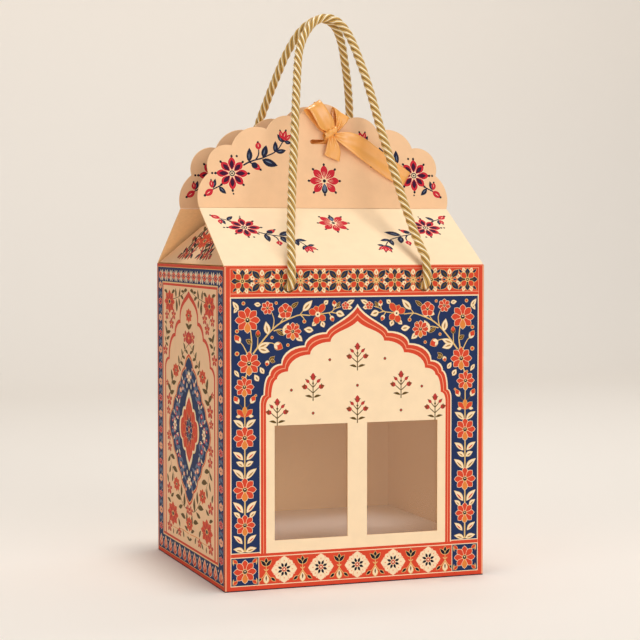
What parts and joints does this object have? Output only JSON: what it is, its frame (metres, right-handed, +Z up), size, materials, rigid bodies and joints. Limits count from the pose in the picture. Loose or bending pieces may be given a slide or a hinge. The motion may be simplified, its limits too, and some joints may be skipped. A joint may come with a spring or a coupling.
{
  "type": "gable hamper box",
  "caption": "Windowed gable-top gift hamper box of folded printed paperboard with scalloped crests, twisted cord handles and a ribbon bow.",
  "frame": {"origin": "middle of the base, on the surface the box stands on", "axes": "+Z up, -Y out of the windowed front wall, +X to the right of someone facing the front"},
  "size_m": [0.2002, 0.2054, 0.4214],
  "materials": {
    "printed_board": "satin",
    "plain_board": "matte",
    "window_film": "gloss",
    "gold_cord": "satin",
    "gold_ribbon": "satin"
  },
  "bodies": {
    "box": {"front_wall": "printed_board", "back_wall": "printed_board", "left_wall": "printed_board", "right_wall": "printed_board", "glue_flap": "plain_board", "front_base_flap": "plain_board", "back_base_flap": "plain_board", "left_base_flap": "plain_board", "right_base_flap": "plain_board", "floor_insert": "plain_board", "window_film": "window_film", "front_left_knot": "gold_cord", "front_right_knot": "gold_cord", "back_left_knot": "gold_cord", "back_right_knot": "gold_cord"},
    "front_roof": {"front_roof": "printed_board"},
    "back_roof": {"back_roof": "printed_board"},
    "front_crest": {"front_crest": "printed_board", "ribbon_tie": "gold_ribbon", "ribbon_knot": "gold_ribbon", "ribbon_left_loop": "gold_ribbon", "ribbon_right_loop": "gold_ribbon", "ribbon_short_tail": "gold_ribbon", "ribbon_long_tail": "gold_ribbon"},
    "back_crest": {"back_crest": "printed_board"},
    "left_gusset": {"left_gusset": "printed_board"},
    "right_gusset": {"right_gusset": "printed_board"},
    "front_cord_bends": {"front_left_cord_bend": "gold_cord", "front_right_cord_bend": "gold_cord"},
    "back_cord_bends": {"back_left_cord_bend": "gold_cord", "back_right_cord_bend": "gold_cord"},
    "front_cord": {"front_handle_cord": "gold_cord"},
    "back_cord": {"back_handle_cord": "gold_cord"}
  },
  "joints": [
    {"name": "front_roof_fold", "type": "hinge", "parent": "box", "child": "front_roof", "pos_m": [0, -0.0925, 0.23], "axis": [1, 0, 0], "range_deg": [0, 90]},
    {"name": "back_roof_fold", "type": "hinge", "parent": "box", "child": "back_roof", "pos_m": [0, 0.0925, 0.23], "axis": [-1, 0, 0], "range_deg": [0, 90]},
    {"name": "front_crest_fold", "type": "hinge", "parent": "front_roof", "child": "front_crest", "pos_m": [0, -0.0265, 0.2725], "axis": [1, 0, 0], "range_deg": [-10, 12]},
    {"name": "back_crest_fold", "type": "hinge", "parent": "back_roof", "child": "back_crest", "pos_m": [0, 0.0265, 0.2725], "axis": [-1, 0, 0], "range_deg": [-10, 12]},
    {"name": "left_gusset_fold", "type": "hinge", "parent": "box", "child": "left_gusset", "pos_m": [-0.1, 0, 0.23], "axis": [0, -1, 0], "range_deg": [-65, 100]},
    {"name": "right_gusset_fold", "type": "hinge", "parent": "box", "child": "right_gusset", "pos_m": [0.1, 0, 0.23], "axis": [0, 1, 0], "range_deg": [-65, 100]},
    {"name": "front_cord_push", "type": "hinge", "parent": "box", "child": "front_cord_bends", "pos_m": [0, -0.098, 0.2155], "axis": [1, 0, 0], "range_deg": [0, 90]},
    {"name": "back_cord_push", "type": "hinge", "parent": "box", "child": "back_cord_bends", "pos_m": [0, 0.098, 0.2155], "axis": [-1, 0, 0], "range_deg": [0, 90]},
    {"name": "front_cord_swing", "type": "hinge", "parent": "front_cord_bends", "child": "front_cord", "pos_m": [0, -0.098, 0.2322], "axis": [1, 0, 0], "range_deg": [0, 120]},
    {"name": "back_cord_swing", "type": "hinge", "parent": "back_cord_bends", "child": "back_cord", "pos_m": [0, 0.098, 0.2322], "axis": [-1, 0, 0], "range_deg": [0, 120]}
  ],
  "couplings": [
    {"joint": "front_cord_push", "follows": "front_roof_fold", "ratio": 1},
    {"joint": "back_cord_push", "follows": "back_roof_fold", "ratio": 1}
  ]
}
